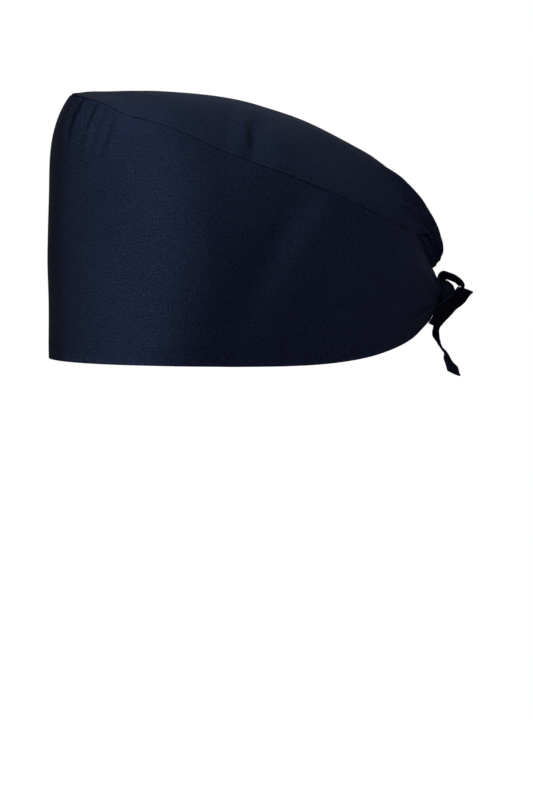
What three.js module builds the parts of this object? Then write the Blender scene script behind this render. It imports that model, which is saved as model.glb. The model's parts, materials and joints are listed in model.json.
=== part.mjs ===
// A tie-back scrub cap of thin woven cloth: a tall band round the forehead and sides, a crown panel sewn to
// its slanting top edge, a gathered casing at the nape, and the knotted tie with its loop and two ends.
import * as THREE from "three";

// Millimetres and degrees. +X is the wearer's left, -Y the forehead, +Z up.
// The origin is the middle of the head opening, level with the hem at the forehead.
const CLOTH = 1.2;
const CASING_THICKNESS = 1.6;
const SEAM_GAP = 0.5;

// The hem and the top edge of the band are ovals in plan; the top edge is smaller and set back.
const HEM = { halfWidth: 80, halfLength: 109.5, middleY: 0 };
const TOP = { halfWidth: 68, halfLength: 104, middleY: 7.5 };

// The band is open at the back: each end stops this far round from the middle of the forehead.
const BAND_END = 175.5;
// The crown's first row lies on the seam at the forehead, and its last row is gathered into the casing.
const CROWN_START = 5;
const CROWN_END = 172;
const CASING_START = 155;
const CASING_END = 175;
// The share of the crown's half width that the casing takes, at its start and at its end.
const CASING_SHARE = { start: 0.17, end: 0.36 };
// Degrees over which the casing opens to its full width, and its gaps to the crown and the band.
const CASING_OPENS = 4;
const CASING_GAP_ANGLE = 0.5;
const CASING_GAP_SHARE = 0.012;

// Sections round the cap, by the angle from the middle of the forehead towards the middle of the nape.
// hemZ and seamZ are the band's lower and upper edges; ridgeY and ridgeZ are where the crown's arch over
// that section crosses the centre line; lean says how late the band turns inwards as it rises; billow is
// how far its middle swells outwards; arch is how flat the crown's section is on top.
const SECTIONS = [
  { angle: 0, hemZ: 0, seamZ: 151.6, ridgeY: -96.5, ridgeZ: 151.6, lean: 9, billow: 0, arch: 2.6 },
  { angle: 15, hemZ: 0, seamZ: 151.2, ridgeY: -93, ridgeZ: 151.9, lean: 8.6, billow: 0, arch: 2.6 },
  { angle: 25, hemZ: 0, seamZ: 150.4, ridgeY: -86.8, ridgeZ: 152.5, lean: 8, billow: 0, arch: 2.6 },
  { angle: 37, hemZ: 0, seamZ: 147.5, ridgeY: -75.6, ridgeZ: 153, lean: 7, billow: 0, arch: 2.6 },
  { angle: 46, hemZ: 0, seamZ: 142.3, ridgeY: -64.7, ridgeZ: 153.2, lean: 6, billow: 0.5, arch: 2.6 },
  { angle: 58, hemZ: 0, seamZ: 138.1, ridgeY: -47.6, ridgeZ: 153.2, lean: 5, billow: 1, arch: 2.5 },
  { angle: 70, hemZ: 0, seamZ: 130.7, ridgeY: -28.1, ridgeZ: 151.9, lean: 4.4, billow: 1.5, arch: 2.5 },
  { angle: 80, hemZ: 0, seamZ: 122.8, ridgeY: -10.6, ridgeZ: 149.5, lean: 4, billow: 2, arch: 2.4 },
  { angle: 91, hemZ: 0, seamZ: 115.2, ridgeY: 9.3, ridgeZ: 145.2, lean: 3.6, billow: 2.5, arch: 2.4 },
  { angle: 105, hemZ: 0.2, seamZ: 105.8, ridgeY: 35.5, ridgeZ: 136.6, lean: 3.2, billow: 2.5, arch: 2.3 },
  { angle: 118, hemZ: 1.2, seamZ: 96.4, ridgeY: 59.5, ridgeZ: 125.8, lean: 3, billow: 2.5, arch: 2.2 },
  { angle: 132, hemZ: 4, seamZ: 86.1, ridgeY: 82.3, ridgeZ: 112.4, lean: 2.6, billow: 2.5, arch: 2.2 },
  { angle: 144, hemZ: 8.2, seamZ: 78.6, ridgeY: 98, ridgeZ: 99.2, lean: 2.2, billow: 3, arch: 2.2 },
  { angle: 155, hemZ: 13.2, seamZ: 72, ridgeY: 108.2, ridgeZ: 85.6, lean: 1.8, billow: 4, arch: 2.2 },
  { angle: 163, hemZ: 17.8, seamZ: 60.5, ridgeY: 115, ridgeZ: 72.6, lean: 1.5, billow: 5, arch: 2.2 },
  { angle: 170, hemZ: 20.6, seamZ: 54, ridgeY: 116.8, ridgeZ: 62, lean: 1.3, billow: 5.5, arch: 2.1 },
  { angle: 176, hemZ: 21.4, seamZ: 51.5, ridgeY: 112.2, ridgeZ: 54, lean: 1.2, billow: 5.5, arch: 2 },
];

// Folds pressed into the band: angle round the cap, height as a share of the band, half sizes across
// (degrees) and along (share of the band), and depth. slant turns a fold's foot round the cap.
const BAND_FOLDS = [
  { angle: 24, height: 0.95, across: 3, along: 0.07, depth: 0.9, slant: 0 },
  { angle: 33, height: 0.93, across: 3, along: 0.08, depth: 1.1, slant: 4 },
  { angle: 43, height: 0.93, across: 3, along: 0.09, depth: 1.6, slant: 6 },
  { angle: 100, height: 0.5, across: 9, along: 0.3, depth: 1.6, slant: 25 },
  { angle: -30, height: 0.94, across: 3, along: 0.08, depth: 1.1, slant: -4 },
  { angle: -45, height: 0.93, across: 3, along: 0.09, depth: 1.4, slant: -6 },
  { angle: -95, height: 0.5, across: 9, along: 0.3, depth: 1.4, slant: -25 },
];

// Dents and puckers of the crown beside the seam: angle of the section, place across (-1 right seam,
// 1 left seam), half sizes along the cap (degrees) and across (share of the half width), and depth.
const CROWN_FOLDS = [
  { angle: 56, place: 0.92, along: 6, across: 0.22, depth: 1.8 },
  { angle: 81, place: 0.9, along: 3.5, across: 0.2, depth: 1 },
  { angle: 90, place: 0.86, along: 3.5, across: 0.28, depth: 2.2 },
  { angle: 64, place: -0.9, along: 6, across: 0.24, depth: 1.6 },
  { angle: 92, place: -0.88, along: 4, across: 0.26, depth: 1.8 },
];

// How closely the crown's folds run up to the seam before it holds them flat.
const SEAM_HOLD = 6;

// Gathers that run down the back of the crown into the casing.
const GATHER = { from: 108, full: 156, fade: 172, folds: 4.5, depth: 1.3 };

// The tie: a flat folded strap.
const TIE = { width: 12, thickness: 1.2 };
const KNOT = { x: 0, y: 119.8, z: 34.6, halfX: 5.4, halfY: 4.4, halfZ: 9.4 };
const WRAP = { halfX: 6.9, halfY: 6.2, width: 7, tilt: 25 };

const NAVY = 0x1b2235;
const TIE_NAVY = 0x0d111c;
const ROUGHNESS = 0.9;

const radians = THREE.MathUtils.degToRad;
const smooth = THREE.MathUtils.smoothstep;

const COLUMNS = ["hemZ", "seamZ", "ridgeY", "ridgeZ", "lean", "billow", "arch"];
const sectionCurve = new THREE.CubicInterpolant(
  SECTIONS.map((row) => row.angle),
  SECTIONS.flatMap((row) => COLUMNS.map((column) => row[column])),
  COLUMNS.length,
);

// The section at an angle, on either side: the cap's two halves share one table.
function sectionAt(angle) {
  const values = sectionCurve.evaluate(Math.abs(angle));
  return Object.fromEntries(COLUMNS.map((column, k) => [column, values[k]]));
}

function ovalPoint(oval, angle, z) {
  const a = radians(angle);
  return new THREE.Vector3(oval.halfWidth * Math.sin(a), oval.middleY - oval.halfLength * Math.cos(a), z);
}

// A bell of height 1 that has faded to nothing about two half sizes away.
function bell(distance, halfSize) {
  return Math.exp(-2 * (distance / halfSize) ** 2);
}

// A crease: a ridge on one side of the line and a valley on the other.
function crease(distance, halfSize) {
  return (2 * distance / halfSize) * bell(distance, halfSize);
}

// The outer face of the band at an angle and at a share of its height.
function bandPoint(angle, height) {
  const section = sectionAt(angle);
  const hem = ovalPoint(HEM, angle, section.hemZ);
  const top = ovalPoint(TOP, angle, section.seamZ);
  const inwards = height ** section.lean;
  const point = new THREE.Vector3().lerpVectors(hem, top, inwards);
  point.z = THREE.MathUtils.lerp(hem.z, top.z, height);
  let swell = section.billow * Math.sin(Math.PI * height);
  for (const fold of BAND_FOLDS) {
    const line = fold.angle + fold.slant * (height - fold.height);
    swell += fold.depth * crease(angle - line, fold.across) * bell(height - fold.height, fold.along * 2);
  }
  const a = radians(angle);
  point.x += swell * Math.sin(a);
  point.y -= swell * Math.cos(a);
  return point;
}

// The outward normal of a face given by two parameters, by small steps to both sides.
function normalOf(face, u, v, stepU, stepV) {
  const alongU = face(u + stepU, v).sub(face(u - stepU, v));
  const alongV = face(u, v + stepV).sub(face(u, v - stepV));
  return alongU.cross(alongV).normalize();
}

const STEP_ANGLE = 0.3;
const STEP_SHARE = 0.01;

function bandNormal(angle, height) {
  const inside = THREE.MathUtils.clamp(height, STEP_SHARE, 1 - STEP_SHARE);
  return normalOf(bandPoint, angle, inside, STEP_ANGLE, STEP_SHARE);
}

// The normal of a face of the crown, which is given by the section's angle and the place across it.
function normalAcross(face, angle, place) {
  const inside = THREE.MathUtils.clamp(place, -1 + STEP_SHARE, 1 - STEP_SHARE);
  return normalOf((p, a) => face(a, p), inside, angle, STEP_SHARE, STEP_ANGLE);
}

// A section's arch without folds, from the right seam (-1) to the left seam (1).
function archPoint(angle, place) {
  const section = sectionAt(angle);
  const seam = ovalPoint(TOP, angle, section.seamZ);
  const rise = 1 - Math.abs(place) ** section.arch;
  return new THREE.Vector3(
    seam.x * place,
    THREE.MathUtils.lerp(seam.y, section.ridgeY, rise),
    THREE.MathUtils.lerp(seam.z, section.ridgeZ, rise),
  );
}

// The outer face of the crown: its arch with the dents, the puckers and the gathers at the nape.
// The folds fade out close to the seam, which holds the cloth.
function crownPoint(angle, place) {
  let swell = 0;
  for (const fold of CROWN_FOLDS) {
    const along = crease(fold.angle - angle, fold.along);
    swell += fold.depth * along * bell(place - fold.place, fold.across * 2);
  }
  const gathered = smooth(angle, GATHER.from, GATHER.full) * (1 - smooth(angle, GATHER.full, GATHER.fade));
  swell += GATHER.depth * gathered * Math.cos(GATHER.folds * Math.PI * place);
  swell *= 1 - place ** SEAM_HOLD;
  return archPoint(angle, place).addScaledVector(normalAcross(archPoint, angle, place), swell);
}

function crownNormal(angle, place) {
  return normalAcross(crownPoint, angle, place);
}

// At the seam both walls end in one plane: its normal halves the corner, and it leans across the seam.
function seamFrame(angle) {
  const side = Math.sign(angle) || 1;
  const band = bandNormal(angle, 1);
  const crown = crownNormal(Math.abs(angle), side);
  const mitre = band.clone().add(crown).normalize();
  const up = bandPoint(angle, 1).sub(bandPoint(angle, 1 - STEP_SHARE)).normalize();
  const over = crownPoint(Math.abs(angle), side * (1 - STEP_SHARE)).sub(crownPoint(Math.abs(angle), side));
  const across = up.add(over.normalize());
  across.addScaledVector(mitre, -across.dot(mitre)).normalize();
  return { mitre, across, depth: CLOTH / mitre.dot(band) };
}

// A closed wall from a grid of outer and inner points; u x v faces outwards.
function wall(countU, countV, pairAt) {
  const positions = [];
  for (let i = 0; i <= countU; i++) {
    for (let j = 0; j <= countV; j++) {
      const { outer, inner } = pairAt(i / countU, j / countV);
      positions.push(...outer.toArray(), ...inner.toArray());
    }
  }
  const index = [];
  const at = (i, j, layer) => 2 * (i * (countV + 1) + j) + layer;
  const quad = (a, b, c, d) => index.push(a, b, c, a, c, d);
  for (let i = 0; i < countU; i++) {
    for (let j = 0; j < countV; j++) {
      quad(at(i, j, 0), at(i + 1, j, 0), at(i + 1, j + 1, 0), at(i, j + 1, 0));
      quad(at(i, j, 1), at(i, j + 1, 1), at(i + 1, j + 1, 1), at(i + 1, j, 1));
    }
    quad(at(i, 0, 1), at(i + 1, 0, 1), at(i + 1, 0, 0), at(i, 0, 0));
    quad(at(i, countV, 0), at(i + 1, countV, 0), at(i + 1, countV, 1), at(i, countV, 1));
  }
  for (let j = 0; j < countV; j++) {
    quad(at(0, j, 0), at(0, j + 1, 0), at(0, j + 1, 1), at(0, j, 1));
    quad(at(countU, j, 1), at(countU, j + 1, 1), at(countU, j + 1, 0), at(countU, j, 0));
  }
  return closedGeometry(positions, index);
}

function closedGeometry(positions, index) {
  const geometry = new THREE.BufferGeometry();
  geometry.setAttribute("position", new THREE.Float32BufferAttribute(positions, 3));
  geometry.setIndex(index);
  geometry.computeVertexNormals();
  return geometry;
}

function behind(outer, normal, thickness) {
  return { outer, inner: outer.clone().addScaledVector(normal, -thickness) };
}

// The band's rows lie closer together towards its top, where it turns inwards.
const BAND_STEPS = { round: 72, up: 11 };
const BAND_CLOSER = 0.8;

function sideBand() {
  return wall(BAND_STEPS.round, BAND_STEPS.up, (u, v) => {
    const angle = THREE.MathUtils.lerp(-BAND_END, BAND_END, u);
    const height = v ** BAND_CLOSER;
    if (v < 1) return behind(bandPoint(angle, height), bandNormal(angle, height), CLOTH);
    const seam = seamFrame(angle);
    const edge = bandPoint(angle, 1).addScaledVector(seam.across, -SEAM_GAP / 2);
    return behind(edge, seam.mitre, seam.depth);
  });
}

// The share of the crown's half width that the casing takes at an angle: nothing before it starts.
function casingShare(angle) {
  const way = THREE.MathUtils.clamp((angle - CASING_START) / (CASING_END - CASING_START), 0, 1);
  const opening = smooth(angle, CASING_START, CASING_START + CASING_OPENS);
  return THREE.MathUtils.lerp(CASING_SHARE.start, CASING_SHARE.end, way) * opening;
}

// Rows of the crown from front to back, which lie closer together beside the casing, and steps across.
const CROWN_ROWS = { besideBand: 28, besideCasing: 7 };
const CROWN_STEPS = 26;

function crownRowAngle(row) {
  const beyond = row - CROWN_ROWS.besideBand;
  if (beyond > 0) return THREE.MathUtils.lerp(CASING_START, CROWN_END, beyond / CROWN_ROWS.besideCasing);
  return THREE.MathUtils.lerp(CROWN_START, CASING_START, row / CROWN_ROWS.besideBand);
}

function crown() {
  const rows = CROWN_ROWS.besideBand + CROWN_ROWS.besideCasing;
  return wall(CROWN_STEPS, rows, (u, v) => {
    const angle = crownRowAngle(v * rows);
    const place = 2 * u - 1;
    const edge = 1 - casingShare(angle);
    const outer = crownPoint(angle, place * edge);
    const normal = crownNormal(angle, place * edge);
    if (Math.abs(place) < 1 && v > 0) return behind(outer, normal, CLOTH);
    const seam = seamFrame(place * angle);
    const awayFromSeam = smooth(angle, CASING_START, CASING_START + CASING_OPENS);
    outer.addScaledVector(seam.across, SEAM_GAP / 2);
    return behind(outer, seam.mitre.lerp(normal, awayFromSeam).normalize(), seam.depth);
  });
}

// The casing runs down beside the band's left end, across the nape and up beside its right end.
// v goes from its edge at the band to its edge at the crown; it starts as a narrow point.
function backCasing() {
  const side = { steps: CROWN_ROWS.besideCasing, start: CASING_START + 2.2 };
  const acrossSteps = 8;
  const stretch = (2 * side.steps) / (2 * side.steps + acrossSteps);
  const tipShare = 0.01;
  return wall(2 * side.steps + acrossSteps, 3, (u, v) => {
    const fromMiddle = Math.abs(1 - 2 * u);
    const way = Math.min((1 - fromMiddle) / stretch, 1);
    const reach = Math.min(fromMiddle / (1 - stretch), 1) * Math.sign(1 - 2 * u);
    const atBand = THREE.MathUtils.lerp(side.start, CASING_END, way);
    const atCrown = THREE.MathUtils.lerp(side.start, CROWN_END + CASING_GAP_ANGLE, way);
    const angle = THREE.MathUtils.lerp(atBand, atCrown, v);
    const outerPlace = 1 - CASING_GAP_SHARE;
    const innerPlace = Math.min(1 - casingShare(atCrown) + CASING_GAP_SHARE, outerPlace - tipShare);
    const place = reach * THREE.MathUtils.lerp(outerPlace, innerPlace, v);
    return behind(crownPoint(angle, place), crownNormal(angle, place), CASING_THICKNESS);
  });
}

// A flat strap along a route: each row has the middle of the strap and the direction of its width.
function strap(route, steps) {
  const points = route.map((row) => new THREE.Vector3(row.x, row.y, row.z));
  const widths = route.map((row) => new THREE.Vector3(row.widthX, row.widthY, row.widthZ));
  const middle = new THREE.CatmullRomCurve3(points, false, "centripetal");
  const width = new THREE.CatmullRomCurve3(widths, false, "centripetal");
  const positions = [];
  const index = [];
  const quad = (a, b, c, d) => index.push(a, b, c, a, c, d);
  for (let i = 0; i <= steps; i++) {
    const t = i / steps;
    const tangent = middle.getTangent(t);
    const across = width.getPoint(t);
    across.addScaledVector(tangent, -across.dot(tangent)).setLength(TIE.width / 2);
    const normal = tangent.clone().cross(across).setLength(TIE.thickness / 2);
    for (const [a, n] of [[-1, -1], [1, -1], [1, 1], [-1, 1]]) {
      const corner = middle.getPoint(t).addScaledVector(across, a).addScaledVector(normal, n);
      positions.push(...corner.toArray());
    }
    if (i === 0) continue;
    const here = 4 * i;
    for (let k = 0; k < 4; k++) {
      const next = (k + 1) % 4;
      quad(here - 4 + k, here - 4 + next, here + next, here + k);
    }
  }
  const last = 4 * steps;
  quad(3, 2, 1, 0);
  quad(last, last + 1, last + 2, last + 3);
  return closedGeometry(positions, index);
}

// The loop of the bow rises from the knot, arches backwards and comes down into it again.
const LOOP_ROUTE = [
  { x: 0.3, y: 117.3, z: 45.4, widthX: 0.85, widthY: -0.3, widthZ: 0.45 },
  { x: 0.3, y: 116.2, z: 46.8, widthX: 0.85, widthY: -0.3, widthZ: 0.45 },
  { x: 0.6, y: 117.6, z: 47.9, widthX: 0.85, widthY: -0.3, widthZ: 0.45 },
  { x: 1.2, y: 121, z: 47.4, widthX: 0.85, widthY: -0.26, widthZ: 0.46 },
  { x: 2.4, y: 125.4, z: 45.2, widthX: 0.87, widthY: -0.12, widthZ: 0.46 },
  { x: 2.6, y: 128.4, z: 41.6, widthX: 0.92, widthY: 0.1, widthZ: 0.36 },
  { x: 2.2, y: 127, z: 38, widthX: 0.94, widthY: 0.2, widthZ: 0.2 },
];

// The short end comes out below the knot and points backwards and up past its left side.
const SHORT_END_ROUTE = [
  { x: 9.4, y: 112, z: 18.8, widthX: 8, widthY: -5, widthZ: 2.5 },
  { x: 9.8, y: 115.6, z: 23.8, widthX: 7, widthY: -6.5, widthZ: 4 },
  { x: 10.8, y: 119, z: 29, widthX: 5.6, widthY: -8, widthZ: 4.6 },
  { x: 13, y: 125, z: 34.8, widthX: 7, widthY: -8.8, widthZ: 3.5 },
  { x: 16.4, y: 129.8, z: 40.6, widthX: 6, widthY: -9.6, widthZ: 2.7 },
];

// The long end hangs below the knot, turns on its way down and swings out to the left.
const TAIL_ROUTE = [
  { x: -0.6, y: 115.8, z: 24.2, widthX: -0.8, widthY: -0.6, widthZ: 0.05 },
  { x: -1.4, y: 114, z: 20.6, widthX: -0.85, widthY: -0.5, widthZ: 0.1 },
  { x: -1.4, y: 113.1, z: 16.5, widthX: -0.92, widthY: -0.4, widthZ: 0 },
  { x: -0.8, y: 113.1, z: 12.6, widthX: -0.92, widthY: -0.38, widthZ: 0.05 },
  { x: 0, y: 114.9, z: 8.6, widthX: -0.97, widthY: -0.2, widthZ: 0.05 },
  { x: 0.8, y: 118, z: 3.6, widthX: -1, widthY: 0.05, widthZ: 0 },
  { x: 2, y: 119.7, z: 0.4, widthX: -0.85, widthY: 0.42, widthZ: -0.3 },
  { x: 4.8, y: 121.3, z: -3.2, widthX: -0.62, widthY: 0.64, widthZ: -0.44 },
  { x: 9, y: 123.4, z: -8.2, widthX: -0.48, widthY: 0.72, widthZ: -0.5 },
];

function knotCore() {
  return new THREE.SphereGeometry(1, 20, 12).scale(KNOT.halfX, KNOT.halfY, KNOT.halfZ);
}

// The turn of strap that goes round the knot's waist.
function knotWrap() {
  const round = new THREE.EllipseCurve(0, 0, WRAP.halfX, WRAP.halfY);
  const half = { width: WRAP.width / 2, thickness: TIE.thickness / 2 };
  const outline = [
    new THREE.Vector2(-half.thickness, -half.width),
    new THREE.Vector2(half.thickness, -half.width + 1),
    new THREE.Vector2(half.thickness, half.width - 1),
    new THREE.Vector2(-half.thickness, half.width),
  ];
  const steps = 28;
  const positions = [];
  const index = [];
  for (let i = 0; i < steps; i++) {
    const spot = round.getPoint(i / steps);
    const out = spot.clone().divide(new THREE.Vector2(WRAP.halfX, WRAP.halfY)).normalize();
    outline.forEach((corner) => {
      positions.push(spot.x + corner.x * out.x, spot.y + corner.x * out.y, corner.y);
    });
    const here = outline.length * i;
    const next = outline.length * ((i + 1) % steps);
    outline.forEach((corner, k) => {
      const l = (k + 1) % outline.length;
      index.push(here + k, next + k, next + l, here + k, next + l, here + l);
    });
  }
  return closedGeometry(positions, index);
}

function piece(name, geometry, color) {
  const material = new THREE.MeshStandardMaterial({ color, roughness: ROUGHNESS, metalness: 0 });
  const mesh = new THREE.Mesh(geometry, material);
  mesh.name = name;
  return mesh;
}

function tie() {
  const group = new THREE.Group();
  const knot = new THREE.Group();
  knot.position.set(KNOT.x, KNOT.y, KNOT.z);
  knot.add(piece("tie_knot", knotCore(), TIE_NAVY));
  const wrap = piece("knot_wrap", knotWrap(), TIE_NAVY);
  wrap.rotation.x = radians(WRAP.tilt);
  knot.add(wrap);
  group.add(knot);
  group.add(piece("tie_loop", strap(LOOP_ROUTE, 20), TIE_NAVY));
  group.add(piece("tie_short_end", strap(SHORT_END_ROUTE, 12), TIE_NAVY));
  group.add(piece("tie_tail", strap(TAIL_ROUTE, 24), TIE_NAVY));
  return group;
}

const cap = new THREE.Group();
cap.name = "scrub_cap";
cap.add(piece("side_band", sideBand(), NAVY));
cap.add(piece("crown", crown(), NAVY));
cap.add(piece("back_casing", backCasing(), NAVY));
cap.add(tie());

export default cap;
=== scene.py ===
import json
import math

import bpy
import numpy as np
from bpy.props import FloatProperty, FloatVectorProperty, PointerProperty
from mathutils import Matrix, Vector

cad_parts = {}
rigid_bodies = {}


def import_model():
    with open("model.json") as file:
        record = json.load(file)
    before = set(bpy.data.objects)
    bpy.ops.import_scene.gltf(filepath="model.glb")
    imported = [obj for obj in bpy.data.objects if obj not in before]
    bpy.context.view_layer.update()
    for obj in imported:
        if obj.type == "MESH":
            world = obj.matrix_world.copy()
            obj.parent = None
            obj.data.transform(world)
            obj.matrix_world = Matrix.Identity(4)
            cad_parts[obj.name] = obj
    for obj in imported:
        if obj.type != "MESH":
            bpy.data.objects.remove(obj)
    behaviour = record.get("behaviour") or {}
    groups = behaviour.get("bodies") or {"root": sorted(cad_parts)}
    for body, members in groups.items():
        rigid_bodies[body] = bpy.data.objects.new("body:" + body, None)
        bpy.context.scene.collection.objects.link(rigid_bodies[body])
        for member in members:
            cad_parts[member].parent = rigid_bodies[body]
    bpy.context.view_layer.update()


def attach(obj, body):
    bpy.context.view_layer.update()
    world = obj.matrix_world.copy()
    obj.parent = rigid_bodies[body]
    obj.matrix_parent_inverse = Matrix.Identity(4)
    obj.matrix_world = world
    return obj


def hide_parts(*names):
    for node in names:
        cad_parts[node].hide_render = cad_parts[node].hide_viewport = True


bl_info = {
    "name": "Scrub Cap Maker",
    "version": (1, 0, 0),
    "blender": (4, 5, 0),
    "location": "View3D > Sidebar > Scrub Cap",
    "description": "Sews a tie-back scrub cap: band, crown, casing, knotted tie and stitching",
    "category": "Object",
}

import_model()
MM = 0.001

# ---------------------------------------------------------------------------------------------
# The pattern of the cap, in millimetres and degrees. +X is the wearer's left, -Y the forehead.

HEM_OVAL = {"half_width": 80.0, "half_length": 109.5, "middle_y": 0.0}
TOP_OVAL = {"half_width": 68.0, "half_length": 104.0, "middle_y": 7.5}
BAND_END = 175.5
CROWN_START, CROWN_END = 5.0, 172.0
CASING_START, CASING_END = 155.0, 175.0
CASING_SHARE = (0.17, 0.36)
CASING_OPENS = 4.0

# angle, hem height, seam height, ridge y, ridge z, lean, billow, arch
SECTIONS = np.array([
    (0, 0, 151.6, -96.5, 151.6, 9, 0, 2.6),
    (15, 0, 151.2, -93, 151.9, 8.6, 0, 2.6),
    (25, 0, 150.4, -86.8, 152.5, 8, 0, 2.6),
    (37, 0, 147.5, -75.6, 153, 7, 0, 2.6),
    (46, 0, 142.3, -64.7, 153.2, 6, 0.5, 2.6),
    (58, 0, 138.1, -47.6, 153.2, 5, 1, 2.5),
    (70, 0, 130.7, -28.1, 151.9, 4.4, 1.5, 2.5),
    (80, 0, 122.8, -10.6, 149.5, 4, 2, 2.4),
    (91, 0, 115.2, 9.3, 145.2, 3.6, 2.5, 2.4),
    (105, 0.2, 105.8, 35.5, 136.6, 3.2, 2.5, 2.3),
    (118, 1.2, 96.4, 59.5, 125.8, 3, 2.5, 2.2),
    (132, 4, 86.1, 82.3, 112.4, 2.6, 2.5, 2.2),
    (144, 8.2, 78.6, 98, 99.2, 2.2, 3, 2.2),
    (155, 13.2, 72, 108.2, 85.6, 1.8, 4, 2.2),
    (163, 17.8, 60.5, 115, 72.6, 1.5, 5, 2.2),
    (170, 20.6, 54, 116.8, 62, 1.3, 5.5, 2.1),
    (176, 21.4, 51.5, 112.2, 54, 1.2, 5.5, 2),
], float)

# Folds pressed into the band: angle, height share, half size across (degrees) and along (share),
# depth, and how far the fold's line turns round the cap from foot to head. Each is a ridge behind a valley.
DIAGONAL_FOLD = (100, 0.5, 8, 0.3, 3.0, 25)
BAND_FOLDS = (
    (24, 0.95, 3, 0.07, 0.9, 0),
    (33, 0.93, 3, 0.08, 1.1, 4),
    (43, 0.93, 3, 0.09, 1.6, 6),
    DIAGONAL_FOLD,
    (-30, 0.94, 3, 0.08, 1.1, -4),
    (-45, 0.93, 3, 0.09, 1.4, -6),
    (-95, 0.5, 9, 0.3, 2.0, -25),
)
# Small tucks under the seam: angle, depth, half width in degrees, reach down as a share, lean.
BAND_TUCKS = (
    (22.5, 0.9, 1.6, 0.10, 3), (37, 1.1, 1.7, 0.16, 5), (45, 0.9, 1.6, 0.12, 6), (57, 0.35, 2.2, 0.08, 4),
    (69, 0.3, 2.4, 0.07, 2), (82, 0.4, 2.2, 0.10, 3), (88, 0.6, 1.8, 0.13, 4),
    (112, 0.3, 2.6, 0.09, 0), (131, 0.35, 2.4, 0.10, -2), (146, 0.5, 2.0, 0.16, -4),
    (-19, 0.7, 1.6, 0.09, -3), (-31, 0.9, 1.7, 0.12, -4), (-43, 0.8, 1.6, 0.11, -6),
    (-62, 0.4, 2.2, 0.08, -3), (-86, 0.6, 2.0, 0.12, -3), (-118, 0.4, 2.4, 0.09, 2),
    (-143, 0.5, 2.0, 0.15, 4),
)
# Dents and puckers of the crown: angle, place across (-1 to 1), half sizes along and across, depth.
CROWN_FOLDS = (
    (56, 0.90, 6, 0.20, 2.6),
    (81, 0.9, 3.5, 0.2, 1.0),
    (89, 0.86, 4.4, 0.26, 5.4),
    (64, -0.9, 6, 0.24, 1.6),
    (92, -0.88, 4, 0.26, 1.8),
)
# Soft swellings of the crown: angle, place, half sizes along and across, height.
CROWN_SWELLS = (
    (99, 0.82, 5.5, 0.28, 3.6), (40, 0.5, 9, 0.5, 0.8), (72, 0.62, 8, 0.3, 0.9),
    (118, 0.55, 9, 0.35, -0.8), (102, -0.8, 7, 0.3, 1.4), (60, -0.5, 12, 0.4, 0.9),
    (84, 0.1, 14, 0.5, 0.6),
)
# Gathers at the back of the crown: place where the fold starts, place at the casing, the angle where it
# starts, degrees over which it deepens, depth, and half width as a share of the crown's half width.
CROWN_GATHERS = (
    (0.14, 0.30, 127, 13, 6.0, 0.052), (0.61, 0.49, 139, 8, 4.6, 0.042),
    (0.42, 0.40, 149, 6, 2.2, 0.030), (0.02, 0.17, 143, 12, 2.2, 0.040),
    (-0.10, 0.06, 131, 15, 2.4, 0.050), (0.76, 0.62, 151, 6, 2.2, 0.036),
    (-0.10, -0.05, 148, 10, 1.3, 0.035), (-0.24, -0.16, 126, 16, 2.0, 0.055),
    (-0.30, -0.27, 147, 10, 1.4, 0.035), (-0.47, -0.38, 134, 12, 1.9, 0.050),
    (-0.56, -0.49, 150, 8, 1.2, 0.032), (-0.72, -0.60, 138, 12, 1.7, 0.045),
)

CLOTH = 0.45
TURN_RADIUS = 0.42
SEAM_GAP = 0.34
HEM_DEPTH = 12.0
SEAM_ALLOWANCE = 6.0
SEAM_STITCH = 2.2  # degrees round the cap from one stitch of the seam to the next
# How much lighter the cloth is made, from 0 to 1: worn at the hem's edge and at the seam, and a painted
# highlight along the diagonal fold's ridge.
HEM_WEAR, SEAM_WEAR, RIDGE_PAINTED_HIGHLIGHT = 0.5, 0.2, 0.30


def sections_at(angle):
    """The rows of the pattern at any angles, by a smooth curve through the table."""
    t = np.abs(np.asarray(angle, float))
    a, v = SECTIONS[:, 0], SECTIONS[:, 1:]
    i = np.clip(np.searchsorted(a, t, side="right") - 1, 0, len(a) - 2)
    t0, t1 = a[i], a[i + 1]
    first, last = i == 0, i == len(a) - 2
    before = np.where(first, i + 1, i - 1)
    after = np.where(last, i, np.minimum(i + 2, len(a) - 1))
    t_before = np.where(first, 2 * t0 - t1, a[np.maximum(i - 1, 0)])
    t_after = np.where(last, 2 * t1 - t0, a[np.minimum(i + 2, len(a) - 1)])
    half = (t1 - t0) / 2
    w0, w1 = half / (t0 - t_before), half / (t_after - t1)
    p = np.clip((t - t0) / (t1 - t0), 0, 1.5)
    p2, p3 = p * p, p * p * p
    s_before = -w0 * p3 + 2 * w0 * p2 - w0 * p
    s0 = (1 + w0) * p3 + (-1.5 - 2 * w0) * p2 + (-0.5 + w0) * p + 1
    s1 = (-1 - w1) * p3 + (1.5 + w1) * p2 + 0.5 * p
    s_after = w1 * p3 - w1 * p2
    rows = (s_before[..., None] * v[before] + s0[..., None] * v[i]
            + s1[..., None] * v[i + 1] + s_after[..., None] * v[after])
    return [rows[..., k] for k in range(rows.shape[-1])]


def oval(shape, angle, z):
    a = np.radians(angle)
    return np.stack([shape["half_width"] * np.sin(a),
                     shape["middle_y"] - shape["half_length"] * np.cos(a),
                     z + 0 * a], -1)


def bell(distance, half_size):
    return np.exp(-2 * (distance / half_size) ** 2)


def crease(distance, half_size):
    return (2 * distance / half_size) * bell(distance, half_size)


def smooth_step(x, low, high):
    t = np.clip((x - low) / (high - low), 0, 1)
    return t * t * (3 - 2 * t)


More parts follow.
